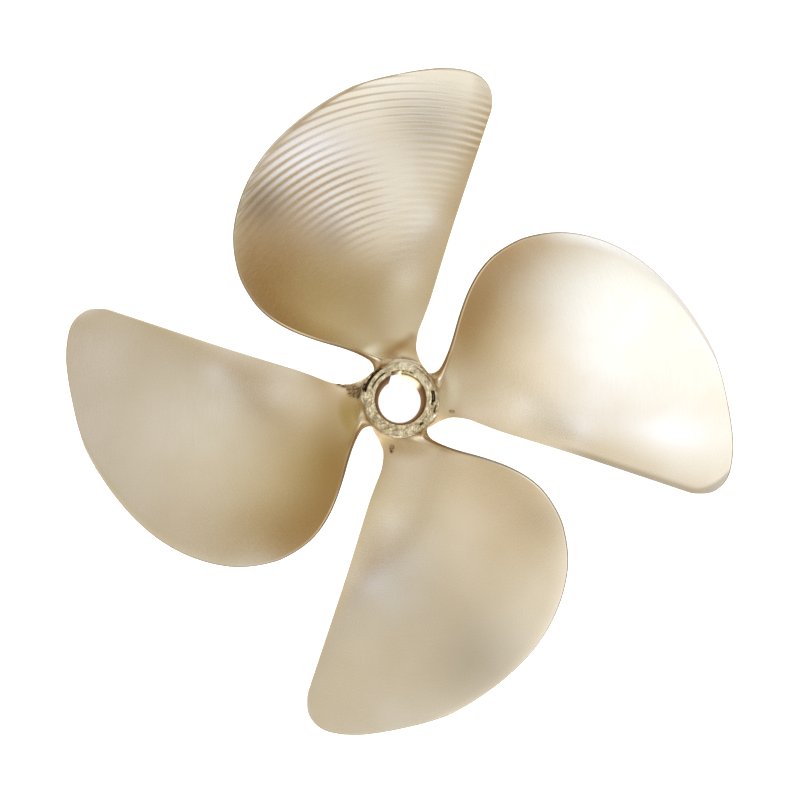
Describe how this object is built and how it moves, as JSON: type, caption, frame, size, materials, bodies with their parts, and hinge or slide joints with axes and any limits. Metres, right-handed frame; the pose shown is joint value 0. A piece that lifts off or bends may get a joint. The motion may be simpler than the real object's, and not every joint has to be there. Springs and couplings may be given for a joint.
{
  "type": "ship propeller",
  "caption": "Fixed-pitch ship propeller cast in one piece, with wide skewed blades on a hub with a tapered, keyed bore.",
  "frame": {"origin": "centre of the aft hub face, which is the flat face that the propeller rests on", "axes": "+Z along the shaft axis towards the forward end of the hub, +Y through the blade that the picture shows at the top"},
  "size_m": [0.9854, 0.9854, 0.2366],
  "materials": {
    "nickel_aluminium_bronze": "satin ground nickel-aluminium bronze"
  },
  "bodies": {
    "root": {"propeller": "nickel_aluminium_bronze"}
  },
  "joints": []
}
